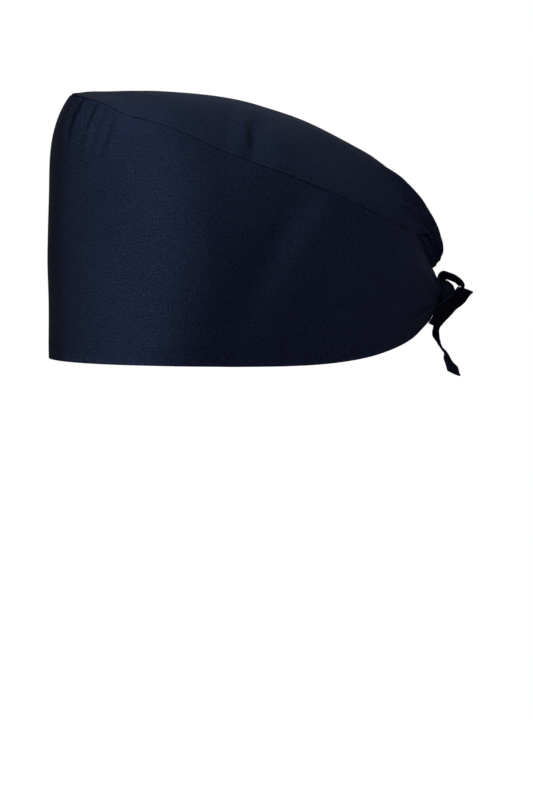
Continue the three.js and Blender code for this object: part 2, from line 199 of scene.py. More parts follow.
def ripple(u, v, waves, seed):
    """A smooth, seeded field of value about -1 to 1: waves is (length of wave, share) pairs."""
    rng = np.random.default_rng(seed)
    out = 0
    for length, share in waves:
        for _ in range(3):
            turn, phase = rng.uniform(0, math.pi), rng.uniform(0, 2 * math.pi)
            k = 2 * math.pi / (length * rng.uniform(0.8, 1.25))
            out = out + share / 2 * np.sin(k * (u * math.cos(turn) + v * math.sin(turn)) + phase)
    return out


def seam_ripple(angle, seed):
    """Puckers along the seam, the same on both of its sides."""
    rng = np.random.default_rng(seed)
    out = 0
    for degrees, share in ((9.5, 0.5), (6.1, 0.6), (4.2, 0.45), (2.9, 0.25)):
        phase = rng.uniform(0, 2 * math.pi)
        swell = 0.6 + 0.4 * np.sin(np.radians(angle) * rng.uniform(2, 5) + rng.uniform(0, 6))
        out = out + share * swell * np.sin(2 * math.pi * angle / degrees + phase)
    return out


def seam_gap(angle):
    """Half the gap between band and crown: each stitch draws the two edges together."""
    return SEAM_GAP / 2 * (0.3 + 1.4 * (0.5 + 0.5 * np.cos(2 * math.pi * np.abs(angle) / SEAM_STITCH)))


def band_swell(angle, height):
    """How far the band's cloth stands out from its plain shape, in millimetres."""
    swell = 0 * angle * height
    for fold_angle, at, across, along, depth, slant in BAND_FOLDS:
        line = fold_angle + slant * (height - at)
        swell = swell + depth * crease(angle - line, across) * bell(height - at, along * 2)
    for tuck, depth, half_width, reach, lean in BAND_TUCKS:
        down = (1 - height) / reach
        line = tuck - lean * (1 - height)
        spread = half_width * (1 + 0.8 * down)
        swell = swell - 0.7 * depth * bell(angle - line, spread) * np.exp(-down ** 2)
        swell = swell + 0.5 * depth * bell(angle - line - 2 * half_width, spread) * np.exp(-down ** 2)
    down_mm = (1 - height) * 120
    swell = swell + 0.22 * seam_ripple(angle, 5) * np.exp(-down_mm / 8)
    free = np.sin(math.pi * np.clip(height, 0, 1)) ** 0.5
    swell = swell + 0.55 * free * ripple(angle * 1.5, height * 120, ((90, 1.0), (48, 0.5), (26, 0.16)), 11)
    # the back ends are drawn in by the tie: flat folds that fan out from the knot
    back = smooth_step(np.abs(angle), 146, 172)
    fan = np.sin(2 * math.pi * (height * 3.4 + 0.25 * np.sin(np.radians(angle) * 9) + 0.15))
    swell = swell + 0.7 * back * fan * np.sin(math.pi * np.clip(height, 0, 1))
    return swell


def band_point(angle, height):
    hem_z, seam_z, _, _, lean, billow, _ = sections_at(angle)
    hem, top = oval(HEM_OVAL, angle, hem_z), oval(TOP_OVAL, angle, seam_z)
    inwards = (np.clip(height, 1e-4, None) ** lean)[..., None]
    point = hem * (1 - inwards) + top * inwards
    point[..., 2] = hem_z + (seam_z - hem_z) * height
    swell = billow * np.sin(math.pi * height) + band_swell(angle, height)
    a = np.radians(angle)
    point[..., 0] += swell * np.sin(a)
    point[..., 1] -= swell * np.cos(a)
    return point


def unit(v):
    return v / np.maximum(np.linalg.norm(v, axis=-1, keepdims=True), 1e-12)


def normal_by_steps(face, u, v, du, dv):
    along_u = face(u + du, v) - face(u - du, v)
    along_v = face(u, v + dv) - face(u, v - dv)
    return unit(np.cross(along_u, along_v))


def band_normal(angle, height):
    return normal_by_steps(band_point, angle, np.clip(height, 0.01, 0.99), 0.3, 0.01)


def arch_point(angle, place):
    _, seam_z, ridge_y, ridge_z, _, _, arch = sections_at(angle)
    seam = oval(TOP_OVAL, angle, seam_z)
    rise = 1 - np.abs(place) ** arch
    return np.stack([seam[..., 0] * place,
                     seam[..., 1] + (ridge_y - seam[..., 1]) * rise,
                     seam_z + (ridge_z - seam_z) * rise], -1)


def arch_normal(angle, place):
    return normal_by_steps(lambda p, a: arch_point(a, p), np.clip(place, -0.99, 0.99), angle, 0.01, 0.3)


def crown_swell(angle, place):
    swell = 0 * angle * place
    for fold_angle, at, along, across, depth in CROWN_FOLDS:
        swell = swell + depth * crease(fold_angle - angle, along) * bell(place - at, across * 2)
    for swell_angle, at, along, across, height in CROWN_SWELLS:
        swell = swell + height * bell(angle - swell_angle, along * 1.4) * bell(place - at, across * 1.4)
    swell = swell + 0.5 * ripple(angle * 1.3, place * 60, ((70, 1.0), (38, 0.5), (20, 0.2)), 23)
    for at_start, at_casing, start, rise, depth, half_width in CROWN_GATHERS:
        way = np.clip((angle - start) / (170 - start), 0, 1)
        line = at_start + (at_casing - at_start) * way + 0.010 * np.sin(angle * 0.23 + at_casing * 20)
        spread = half_width * (1.5 - 0.6 * way)
        side = np.sign(at_casing)
        off = (place - line) * side
        valley = np.exp(-np.abs(off) / spread) - 0.55 * bell(off - 2.2 * spread, spread * 1.9)
        swell = swell - depth * smooth_step(angle, start, start + rise) * valley
    from_seam = (1 - np.abs(place)) * 68
    side = np.sign(place)
    swell = swell * (1 - np.abs(place) ** 9)
    swell = swell + 0.22 * seam_ripple(angle * side, 5) * np.exp(-from_seam / 8)
    return swell


def crown_point(angle, place):
    return arch_point(angle, place) + arch_normal(angle, place) * crown_swell(angle, place)[..., None]


def crown_normal(angle, place):
    return normal_by_steps(lambda p, a: crown_point(a, p), np.clip(place, -0.99, 0.99), angle, 0.01, 0.3)


def casing_share(angle):
    way = np.clip((angle - CASING_START) / (CASING_END - CASING_START), 0, 1)
    opening = smooth_step(angle, CASING_START, CASING_START + CASING_OPENS)
    return (CASING_SHARE[0] + (CASING_SHARE[1] - CASING_SHARE[0]) * way) * opening


# ---------------------------------------------------------------------------------------------
# Making cloth: a grid of points whose four edges can be turned in, as a seam or a hem is.


def arc_lengths(points, axis):
    """Running length of each grid line along an axis."""
    step = np.linalg.norm(np.diff(points, axis=axis), axis=-1)
    zero = np.zeros_like(np.take(step, [0], axis))
    return np.concatenate([zero, np.cumsum(step, axis)], axis)


def loop_of(rows, columns):
    """Indices of a grid's edge, once round: along row 0, up the last column, back and down."""
    first = [(0, i) for i in range(columns)]
    right = [(j, columns - 1) for j in range(1, rows)]
    last = [(rows - 1, i) for i in range(columns - 2, -1, -1)]
    left = [(j, 0) for j in range(rows - 2, 0, -1)]
    return np.array(first + right + last + left)


def sewn_grid(points, normals, mitres, uv, turn, allowance, gap, radius, soften=5.0):
    """Vertices, faces and uv of a cloth whose edges are turned in.

    points and normals are (rows, columns, 3). mitres, turn, allowance, gap and radius have one value for each
    point of the edge, in loop_of's order: the direction that halves the corner with the neighbour, the degrees
    turned, the length of cloth past the turn, half the gap and the radius of the turn."""
    rows, columns = points.shape[:2]
    loop = loop_of(rows, columns)
    edge, n = points[loop[:, 0], loop[:, 1]], normals[loop[:, 0], loop[:, 1]]
    tangent = unit(np.roll(edge, -1, 0) - np.roll(edge, 1, 0))
    out = unit(np.cross(tangent, n))
    inner = np.clip(loop, 1, np.array([rows - 2, columns - 2]))
    away = edge - points[inner[:, 0], inner[:, 1]]
    out *= np.sign((out * away).sum(-1, keepdims=True) + 1e-12)
    m = unit(mitres)
    across = unit(out - m * (out * m).sum(-1, keepdims=True))
    for _ in range(2):
        across = unit(across + 0.5 * np.roll(across, 1, 0) + 0.5 * np.roll(across, -1, 0))
        out = unit(out + 0.5 * np.roll(out, 1, 0) + 0.5 * np.roll(out, -1, 0))
    lean = np.arcsin(np.clip(-(n * across).sum(-1), -0.2, 0.95))
    pull = (gap + radius + radius * np.sin(lean)) / np.cos(lean)
    # every point near the edge is drawn back, so that the turn fits between the cloth and the seam
    flat = points.reshape(-1, 3)
    nearest, distance = np.zeros(len(flat), int), np.full(len(flat), 1e9)
    for start in range(0, len(flat), 4096):
        part = flat[start:start + 4096]
        d = ((part[:, None, :] - edge[None, ::2, :]) ** 2).sum(-1)
        k = d.argmin(1)
        nearest[start:start + 4096], distance[start:start + 4096] = 2 * k, np.sqrt(d[np.arange(len(part)), k])
    on_edge = loop[:, 0] * columns + loop[:, 1]
    nearest[on_edge], distance[on_edge] = np.arange(len(loop)), 0
    fade = np.clip(1 - distance / soften, 0, 1)
    moved = flat - out[nearest] * (pull[nearest] * fade)[:, None]
    centre = edge - out * pull[:, None] - n * radius[:, None]
    start_angle, end_angle = -lean, np.radians(turn)
    strips, run = [], []
    turn_steps, past_steps = 4, 4
    for k in range(1, turn_steps + 1):
        a = start_angle + (end_angle - start_angle) * k / turn_steps
        strips.append(centre + radius[:, None] * (np.cos(a)[:, None] * m + np.sin(a)[:, None] * across))
        run.append(radius * (a - start_angle))
    onwards = -np.sin(end_angle)[:, None] * m + np.cos(end_angle)[:, None] * across
    for k in range(1, past_steps + 1):
        strips.append(strips[turn_steps - 1] + onwards * (allowance * k / past_steps)[:, None])
        run.append(run[turn_steps - 1] + allowance * k / past_steps)
    flat_uv = uv.reshape(-1, 2)
    out_uv = flat_uv[on_edge] - flat_uv[inner[:, 0] * columns + inner[:, 1]]
    out_uv = out_uv / np.maximum(np.linalg.norm(out_uv, axis=-1, keepdims=True), 1e-9)
    vertices, all_uv = [moved], [flat_uv]
    for strip, length in zip(strips, run):
        vertices.append(strip)
        all_uv.append(flat_uv[on_edge] + out_uv * length[:, None])
    j, i = np.meshgrid(np.arange(rows - 1), np.arange(columns - 1), indexing="ij")
    a = (j * columns + i).ravel()
    faces = [np.stack([a, a + 1, a + columns + 1, a + columns], -1)]
    count, base = len(loop), rows * columns
    here = on_edge
    step = np.arange(count)
    for k in range(turn_steps + past_steps):
        there = base + k * count + step
        faces.append(np.stack([here, there, np.roll(there, -1), np.roll(here, -1)], -1))
        here = there
    return np.concatenate(vertices), np.concatenate(faces), np.concatenate(all_uv)


def new_cloth(name, vertices_mm, faces, uv_mm, material, thickness, attributes=None, middle=False):
    """A sheet's mesh from points in millimetres, thickened inwards, or to both sides if they are its middle."""
    mesh = bpy.data.meshes.new(name)
    mesh.from_pydata((vertices_mm * MM).tolist(), [], faces.tolist())
    layer = mesh.uv_layers.new(name="cloth")
    corner = np.zeros(len(mesh.loops), np.int32)
    mesh.loops.foreach_get("vertex_index", corner)
    layer.data.foreach_set("uv", (uv_mm[corner] * MM).astype(np.float32).ravel())
    for attribute, values in (attributes or {}).items():
        mesh.attributes.new(attribute, "FLOAT", "POINT").data.foreach_set(
            "value", np.asarray(values, np.float32))
    mesh.validate()
    piece = bpy.data.objects.new(name, mesh)
    bpy.context.scene.collection.objects.link(piece)
    mesh.materials.append(material)
    pick(piece)
    bpy.ops.object.shade_smooth()
    wall = piece.modifiers.new("cloth thickness", "SOLIDIFY")
    wall.thickness, wall.offset = thickness * MM, 0.0 if middle else -1.0
    bpy.ops.object.modifier_apply(modifier=wall.name)
    return piece


def pick(*pieces):
    """Selects only these pieces and makes the first one active."""
    pick_none()
    for piece in pieces:
        piece.select_set(True)
    bpy.context.view_layer.objects.active = pieces[0]


def pick_none():
    for other in bpy.context.view_layer.objects:
        other.select_set(False)


def settle(piece, name):
    """Gives a piece its name and lets it ride on the cap's body."""
    piece.name = piece.data.name = name
    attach(piece, "root")


# ---------------------------------------------------------------------------------------------
# Finishes


def group_sockets(group, inputs, outputs):
    for name, kind, value in inputs:
        socket = group.interface.new_socket(name=name, in_out="INPUT", socket_type=kind)
        if value is not None:
            socket.default_value = value
    for name, kind in outputs:
        group.interface.new_socket(name=name, in_out="OUTPUT", socket_type=kind)


class Wiring:
    """Small helper that adds nodes to a tree and joins them."""

    def __init__(self, tree):
        self.tree, self.nodes, self.links = tree, tree.nodes, tree.links

    def add(self, kind, **values):
        node = self.nodes.new(kind)
        for key, value in values.items():
            setattr(node, key, value)
        return node

    def join(self, source, target):
        self.links.new(source, target)

    def feed(self, socket, value):
        if isinstance(value, bpy.types.NodeSocket):
            self.links.new(value, socket)
        else:
            socket.default_value = value

    def maths(self, operation, a, b=None, c=None, clamp=False):
        node = self.add("ShaderNodeMath", operation=operation, use_clamp=clamp)
        for k, value in enumerate((a, b, c)):
            if value is not None:
                self.feed(node.inputs[k], value)
        return node.outputs[0]

    def noise(self, vector, scale, detail=2.0, roughness=0.5):
        node = self.add("ShaderNodeTexNoise", noise_dimensions="3D")
        self.feed(node.inputs["Vector"], vector)
        self.feed(node.inputs["Scale"], scale)
        node.inputs["Detail"].default_value = detail
        node.inputs["Roughness"].default_value = roughness
        return node.outputs["Fac"]

    def stretched(self, vector, x, y, z=1.0):
        node = self.add("ShaderNodeMapping")
        self.feed(node.inputs["Vector"], vector)
        node.inputs["Scale"].default_value = (x, y, z)
        return node.outputs["Vector"]

    def mixed(self, share, a, b):
        node = self.add("ShaderNodeMix", data_type="RGBA")
        self.feed(node.inputs["Factor"], share)
        sockets = [s for s in node.inputs if s.type == "RGBA"]
        self.feed(sockets[0], a)
        self.feed(sockets[1], b)
        return [s for s in node.outputs if s.type == "RGBA"][0]

    def ranged(self, value, low, high, to_low, to_high):
        node = self.add("ShaderNodeMapRange")
        self.feed(node.inputs["Value"], value)
        for name, number in (("From Min", low), ("From Max", high), ("To Min", to_low), ("To Max", to_high)):
            self.feed(node.inputs[name], number)
        return node.outputs["Result"]


def woven_cotton_group():
    """Plain weave with uneven yarns. It gives a colour, a roughness and a height."""
    group = bpy.data.node_groups.get("woven_cotton")
    if group:
        return group
    group = bpy.data.node_groups.new("woven_cotton", "ShaderNodeTree")
    group_sockets(
        group,
        (("Cloth place", "NodeSocketVector", None), ("Threads per metre", "NodeSocketFloat", 3100.0),
         ("Yarn unevenness", "NodeSocketFloat", 0.5), ("Deep colour", "NodeSocketColor", None),
         ("Dyed colour", "NodeSocketColor", None), ("Wear and highlight colour", "NodeSocketColor", None),
         ("Wear and painted highlight", "NodeSocketFloat", 0.0)),
        (("Colour", "NodeSocketColor"), ("Roughness", "NodeSocketFloat"), ("Height", "NodeSocketFloat")),
    )
    w = Wiring(group)
    given, made = w.add("NodeGroupInput"), w.add("NodeGroupOutput")
    place = given.outputs["Cloth place"]
    scaled = w.add("ShaderNodeVectorMath", operation="SCALE")
    w.join(place, scaled.inputs[0])
    w.join(given.outputs["Threads per metre"], scaled.inputs["Scale"])
    apart = w.add("ShaderNodeSeparateXYZ")
    w.join(scaled.outputs[0], apart.inputs[0])
    x, y = apart.outputs["X"], apart.outputs["Y"]
    # each yarn is a ridge, and every second crossing goes under
    warp = w.maths("ABSOLUTE", w.maths("SINE", w.maths("MULTIPLY", x, math.pi)))
    weft = w.maths("ABSOLUTE", w.maths("SINE", w.maths("MULTIPLY", y, math.pi)))
    parity = w.maths("ADD", w.maths("FLOOR", x), w.maths("FLOOR", y))
    over = w.maths("MODULO", w.maths("ABSOLUTE", parity), 2.0)
    warp_up = w.maths("MULTIPLY", warp, w.maths("ADD", w.maths("MULTIPLY", over, 0.55), 0.45))
    weft_up = w.maths("MULTIPLY", weft, w.maths("SUBTRACT", 1.0, w.maths("MULTIPLY", over, 0.55)))
    weave = w.maths("MAXIMUM", warp_up, weft_up)
    # yarns vary in thickness along their length: long across one way, long along the other
    slub_warp = w.noise(w.stretched(place, 1.0, 0.25), 1050.0, 2.0, 0.6)
    slub_weft = w.noise(w.stretched(place, 0.25, 1.0), 1050.0, 2.0, 0.6)
    slub = w.maths("MULTIPLY", w.maths("ADD", slub_warp, slub_weft), 0.5)
    fleck = w.noise(place, 820.0, 1.0, 0.5)
    mottle = w.noise(place, 90.0, 3.0, 0.55)
    cloudy = w.noise(place, 16.0, 2.0, 0.5)
    uneven = w.maths("MULTIPLY", w.maths("SUBTRACT", w.maths("ADD", slub, fleck), 1.0),
                     given.outputs["Yarn unevenness"])
    height = w.maths("ADD", w.maths("MULTIPLY", weave, 0.35), w.maths("MULTIPLY", uneven, 1.8))
    w.join(height, made.inputs["Height"])
    tone = w.maths("ADD", w.maths("MULTIPLY", weave, 0.35),
                   w.maths("ADD", w.maths("MULTIPLY", uneven, 1.6),
                           w.maths("ADD", w.maths("MULTIPLY", mottle, 0.25), w.maths("MULTIPLY", cloudy, 0.45))))
    tone = w.ranged(tone, 0.1, 1.0, 0.0, 1.0)
    colour = w.mixed(tone, given.outputs["Deep colour"], given.outputs["Dyed colour"])
    # lighter where the cloth is worn, and where a highlight is painted along the band's diagonal fold
    wear_and_painted_highlight = w.maths("MULTIPLY", given.outputs["Wear and painted highlight"], w.ranged(slub, 0.35, 0.65, 0.3, 1.0), clamp=True)
    colour = w.mixed(wear_and_painted_highlight, colour, given.outputs["Wear and highlight colour"])
    w.join(colour, made.inputs["Colour"])
    w.join(w.ranged(w.maths("ADD", slub, mottle), 0.7, 1.3, 0.50, 0.62), made.inputs["Roughness"])
    return group


def cloth_material(name, dye, wear_and_painted_highlight, threads, unevenness, turn=0.0, relief=0.00110, specular=0.05):
    """A woven cotton of one dye. The fourth argument is how many times lighter it is where it is worn and where
    a highlight is painted on it.
    """
    material = bpy.data.materials.new(name)
    material.use_nodes = True
    w = Wiring(material.node_tree)
    w.nodes.clear()
    result = w.add("ShaderNodeOutputMaterial")
    shader = w.add("ShaderNodeBsdfPrincipled")
    w.join(shader.outputs[0], result.inputs["Surface"])
    uv = w.add("ShaderNodeUVMap", uv_map="cloth")
    turned = w.add("ShaderNodeMapping")
    w.join(uv.outputs[0], turned.inputs["Vector"])
    turned.inputs["Rotation"].default_value = (0.0, 0.0, math.radians(turn))
    weave = w.add("ShaderNodeGroup", node_tree=woven_cotton_group())
    w.join(turned.outputs[0], weave.inputs["Cloth place"])
    weave.inputs["Threads per metre"].default_value = threads
    weave.inputs["Yarn unevenness"].default_value = unevenness
    # the lightest colour serves both the wear and the painted highlight along the band's diagonal fold
    for socket, share in (("Deep colour", 0.55), ("Dyed colour", 1.25), ("Wear and highlight colour", wear_and_painted_highlight)):
        weave.inputs[socket].default_value = (*scaled_colour(dye, share), 1.0)
    # the mask of wear and of the painted highlight, read from the cloth's points
    wear_and_highlight_node = w.add("ShaderNodeAttribute", attribute_name="wear_and_painted_highlight")
    w.join(wear_and_highlight_node.outputs["Fac"], weave.inputs["Wear and painted highlight"])
    w.join(weave.outputs["Colour"], shader.inputs["Base Color"])
    w.join(weave.outputs["Roughness"], shader.inputs["Roughness"])
    bump = w.add("ShaderNodeBump")
    bump.inputs["Strength"].default_value = 1.0
    bump.inputs["Distance"].default_value = relief
    w.join(weave.outputs["Height"], bump.inputs["Height"])
    w.join(bump.outputs["Normal"], shader.inputs["Normal"])
    shader.inputs["Specular IOR Level"].default_value = specular
    shader.inputs["Specular Tint"].default_value = (0.42, 0.56, 1.0, 1.0)
    return material


def scaled_colour(colour, share):
    return tuple(c * share for c in colour)


def material_for(key):
    """The finish of a piece, made once."""
    found = bpy.data.materials.get(key)
    if found:
        return found
    cloth = bpy.context.scene.cap_cloth
    # the tie's navy is the cap's cloth darkened to about a third, as painted shade
    dyed, tie = tuple(cloth.navy), tuple(cloth.tie_navy_painted_shade)
    per_metre = 1.0 / cloth.thread_pitch
    if key == "navy poplin of the band":
        return cloth_material(key, dyed, 1.9, per_metre, 1.2)
    if key == "navy poplin of the crown":
        return cloth_material(key, dyed, 1.9, per_metre, 1.2, turn=3.0)
    # the tie's poplin takes the darkened navy, which paints shade on the knot, loop and ends
    if key == "navy poplin of the tie, with painted shade":
        return cloth_material(key, tie, 2.4, per_metre * 1.05, 0.45, relief=0.00015, specular=0.0)
    material = bpy.data.materials.new(key)
    material.use_nodes = True
    w = Wiring(material.node_tree)
    shader = w.nodes["Principled BSDF"]
    uv = w.add("ShaderNodeTexCoord")
    ply = w.add("ShaderNodeTexWave", wave_type="BANDS", bands_direction="DIAGONAL")
    w.join(uv.outputs["Object"], ply.inputs["Vector"])
    ply.inputs["Scale"].default_value = 900.0
    ply.inputs["Distortion"].default_value = 1.5
    # the tie's thread is made from the darkened tie navy, so it carries the painted shade too
    colour = scaled_colour(tie, 2.6) if key == "tie thread" else scaled_colour(dyed, 0.7)
    colour = w.mixed(ply.outputs["Fac"], (*scaled_colour(colour, 0.6), 1.0), (*colour, 1.0))
    w.join(colour, shader.inputs["Base Color"])
    bump = w.add("ShaderNodeBump")
    bump.inputs["Distance"].default_value = 0.00006
    w.join(ply.outputs["Fac"], bump.inputs["Height"])
    w.join(bump.outputs["Normal"], shader.inputs["Normal"])
    shader.inputs["Roughness"].default_value = 0.6
    shader.inputs["Specular IOR Level"].default_value = 0.08
    return material


# ---------------------------------------------------------------------------------------------
# The pieces


def edge_values(rows, columns, first, right, last, left):
    """One value for each point of a grid's edge, from a value or a row for each side."""
    def side(value, count):
        return np.broadcast_to(np.asarray(value, float), (count,))
    return np.concatenate([
        side(first, columns), side(right, rows - 1),
        side(last, columns - 1), side(left, rows - 2)])


def seam_mitres(angles):
    """The direction that halves the corner between band and crown, at angles round the seam."""
    side = np.where(angles < 0, -1.0, 1.0)
    band = band_normal(angles, np.ones_like(angles))
    steady = np.maximum(np.abs(angles), CROWN_START)
    crown = crown_normal(steady, side)
    front = smooth_step(np.abs(angles), 0, 2 * CROWN_START)[..., None]
    ahead = crown_normal(np.full_like(angles, CROWN_START), angles / CROWN_START / 2)
    crown = unit(crown * front + ahead * (1 - front))
    return unit(band + crown)


def make_band():
    columns, rows = 700, 44
    angle = np.linspace(-BAND_END, BAND_END, columns)
    t = np.linspace(0, 1, rows)
    height = t ** 0.85
    height = 0.5 * height + 0.5 * (1 - (1 - t) ** 1.15)
    grid_angle, grid_height = np.meshgrid(angle, height)
    points = band_point(grid_angle, grid_height)
    normals = band_normal(grid_angle, grid_height)
    around, up = arc_lengths(points, 1), arc_lengths(points, 0)
    middle = around[rows // 2] - around[rows // 2, columns // 2]
    uv = np.stack([np.broadcast_to(middle, (rows, columns)), up], -1)
    loop = loop_of(rows, columns)
    mitres = normals[loop[:, 0], loop[:, 1]].copy()
    on_seam = loop[:, 0] == rows - 1
    mitres[on_seam] = seam_mitres(angle[loop[on_seam, 1]])
    corner = np.minimum(around[0], around[0, -1] - around[0])
    hem = np.minimum(HEM_DEPTH, 0.8 + corner * 0.9)
    top_corner = np.minimum(around[-1], around[-1, -1] - around[-1])
    seam = np.minimum(SEAM_ALLOWANCE, 0.8 + top_corner * 0.5)[::-1][1:]
    vertices, faces, new_uv = sewn_grid(
        points, normals, mitres, uv,
        turn=edge_values(rows, columns, 180, 120, 90, 120),
        allowance=edge_values(rows, columns, hem, 0.8, seam, 0.8),
        gap=edge_values(rows, columns, 0, 0, seam_gap(angle)[::-1][1:], 0),
        radius=edge_values(rows, columns, 0.525, 0.4, TURN_RADIUS, 0.4))
    wear_and_highlight_tone = np.zeros(len(vertices))
    # a painted highlight laid along the diagonal fold's ridge, and a lighter tone of wear along the hem's and
    # the seam's edges
    fold_angle, at, across_size, along_size, _, slant = DIAGONAL_FOLD
    off_line = grid_angle - fold_angle - slant * (grid_height - at)
    # the ridge's lighter tone is a painted highlight, not wear
    painted_ridge_highlight = bell(off_line - across_size / 2, across_size) * bell(grid_height - at, along_size * 2.2)
    edges = np.maximum(HEM_WEAR * np.exp(-up / 1.2), SEAM_WEAR * np.exp(-(up[-1][None] - up)))
    wear_and_highlight_tone[:rows * columns] = np.maximum(edges, RIDGE_PAINTED_HIGHLIGHT * painted_ridge_highlight).ravel()
    piece = new_cloth("band_cloth", vertices, faces, new_uv, material_for("navy poplin of the band"),
                      CLOTH, attributes={"wear_and_painted_highlight": wear_and_highlight_tone})
    settle(piece, "band_cloth")
    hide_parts("side_band")


def make_crown():
    rows, columns = 300, 104
    t = np.linspace(0, 1, rows)
    angle = CROWN_START + (CROWN_END - CROWN_START) * t
    s = np.linspace(-1, 1, columns)
    place = np.sign(s) * (1 - (1 - np.abs(s)) ** 1.12)
    grid_place, grid_angle = np.meshgrid(place, angle)
    edge_share = 1 - casing_share(grid_angle)
    points = crown_point(grid_angle, grid_place * edge_share)
    normals = crown_normal(grid_angle, grid_place * edge_share)
    across, along = arc_lengths(points, 1), arc_lengths(points, 0)
    half = across[:, [columns // 2]]
    uv = np.stack([across - half, along], -1)
    loop = loop_of(rows, columns)
    mitres = normals[loop[:, 0], loop[:, 1]].copy()
    spot_angle = angle[loop[:, 0]]
    side = place[loop[:, 1]]
    on_side = (loop[:, 1] == 0) | (loop[:, 1] == columns - 1)
    seam = seam_mitres(np.where(loop[:, 0] == 0, side * CROWN_START, np.sign(side) * spot_angle))
    held = np.where(on_side | (loop[:, 0] == 0),
                    1 - smooth_step(spot_angle, CASING_START, CASING_START + CASING_OPENS), 0.0)[:, None]
    mitres = unit(seam * held + mitres * (1 - held))
    count = len(loop)
    vertices, faces, new_uv = sewn_grid(
        points, normals, mitres, uv, turn=np.full(count, 90.0),
        allowance=np.where(held[:, 0] > 0.5, SEAM_ALLOWANCE, 1.5),
        gap=seam_gap(spot_angle), radius=np.full(count, TURN_RADIUS))
    from_edge = np.minimum(across, across[:, [-1]] - across)
    wear_and_highlight_tone = np.zeros(len(vertices))
    wear_and_highlight_tone[:rows * columns] = (SEAM_WEAR * np.exp(-from_edge)).ravel()
    piece = new_cloth("crown_cloth", vertices, faces, new_uv, material_for("navy poplin of the crown"),
                      CLOTH, attributes={"wear_and_painted_highlight": wear_and_highlight_tone})
    settle(piece, "crown_cloth")
    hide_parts("crown")


CASING_TIP = 155.4
CASING_PUFF = 1.3
CASING_PUCKER = 0.95
CASING_SINK = 1.1
CASING_CLOTH = 0.4
CASING_SIDE_SHARE = 14 / 22  # of the casing's length that runs down its two sides


def make_casing():
    """The hem of the crown's back edge: a puffed channel drawn up in small gathers by the tie inside it."""
    columns, rows = 520, 18
    u, v = np.meshgrid(np.linspace(0, 1, columns), np.linspace(0, 1, rows))
    stretch = CASING_SIDE_SHARE
    from_middle = np.abs(1 - 2 * u)
    way = np.minimum((1 - from_middle) / stretch, 1)
    reach = np.minimum(from_middle / (1 - stretch), 1) * np.sign(1 - 2 * u)
    at_band = CASING_TIP + (CASING_END - CASING_TIP) * way
    at_crown = CASING_TIP + (CROWN_END + 0.2 - CASING_TIP) * way
    angle = at_band + (at_crown - at_band) * v
    outer_place = 0.999
    inner_place = np.minimum(1 - casing_share(at_crown) - 0.004, outer_place - 0.012)
    place = reach * (outer_place + (inner_place - outer_place) * v)
    points, normals = arch_point(angle, place), arch_normal(angle, place)
    run = arc_lengths(points, 1)[rows // 2]
    puff = np.sin(math.pi * v) ** 0.6
    drawn = (np.abs(np.sin(math.pi * (run / 4.3 + 0.35 * np.sin(run / 7.1) + 0.25 * v))) ** 0.7 - 0.6)
    drawn = drawn + 0.5 * np.sin(2 * math.pi * (run / 2.6 + 0.4 * np.sin(run / 11.0) - 0.5 * v))
    open_way = smooth_step(way, 0.0, 0.18)
    points = points + normals * ((CASING_PUFF * puff * open_way + CASING_PUCKER * drawn * open_way
                                  * (0.35 + 0.65 * puff)) - CASING_SINK)[..., None]
    normals = -unit(np.cross(np.gradient(points, axis=1), np.gradient(points, axis=0)))
    if (normals * arch_normal(angle, place)).sum(-1).mean() < 0:
        normals = -normals
    along, across = arc_lengths(points, 1), arc_lengths(points, 0)
    uv = np.stack([along, across], -1)
    loop = loop_of(rows, columns)
    count = len(loop)
    vertices, faces, new_uv = sewn_grid(
        points, normals, normals[loop[:, 0], loop[:, 1]], uv, turn=np.full(count, 100.0),
        allowance=np.full(count, 0.8), gap=np.zeros(count), radius=np.full(count, 0.35), soften=1.6)
    piece = new_cloth("casing_cloth", vertices, faces, new_uv, material_for("navy poplin of the crown"),
                      CASING_CLOTH)
    settle(piece, "casing_cloth")
    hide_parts("back_casing")


# The tie is a flat strap. Each route has rows of x, y, z for the strap's middle and the way its width points.
TIE_WIDTH, TIE_THICKNESS = 12.0, 1.0
LOOP_ROUTE = (
    (2.4, 118.4, 38.5, 0.5, -0.84, 0.2), (1.7, 117.4, 42.4, 0.6, -0.75, 0.28),
    (0.7, 116.5, 45.8, 0.8, -0.45, 0.42), (0.7, 117.8, 47.8, 0.85, -0.3, 0.45),
    (1.2, 121, 47.4, 0.85, -0.26, 0.46), (2.4, 125.4, 45.2, 0.87, -0.12, 0.46),
    (2.6, 128.4, 41.6, 0.92, 0.1, 0.36), (2.2, 127, 38, 0.94, 0.2, 0.2),
)
SHORT_END_ROUTE = (
    (9.4, 111.4, 19.2, 8, -5, 2.5), (9.8, 114.9, 24.2, 7, -6.5, 4), (10.8, 118.6, 29.3, 5.6, -8, 4.6),
    (13, 125, 34.8, 7, -8.8, 3.5), (16.4, 129.8, 40.6, 6, -9.6, 2.7),
)
TAIL_ROUTE = (
    (-0.6, 115.8, 24.2, -0.8, -0.6, 0.05), (-1.4, 114, 20.6, -0.85, -0.5, 0.1),
    (-1.4, 113.1, 16.5, -0.92, -0.4, 0), (-0.8, 113.1, 12.6, -0.92, -0.38, 0.05),
    (0, 114.9, 8.6, -0.97, -0.2, 0.05), (0.8, 118, 3.6, -1, 0.05, 0), (2, 119.7, 0.4, -0.85, 0.42, -0.3),
    (4.8, 121.3, -3.2, -0.62, 0.64, -0.44), (9, 123.4, -8.2, -0.48, 0.72, -0.5),
)
STRAP_COLUMNS = 15
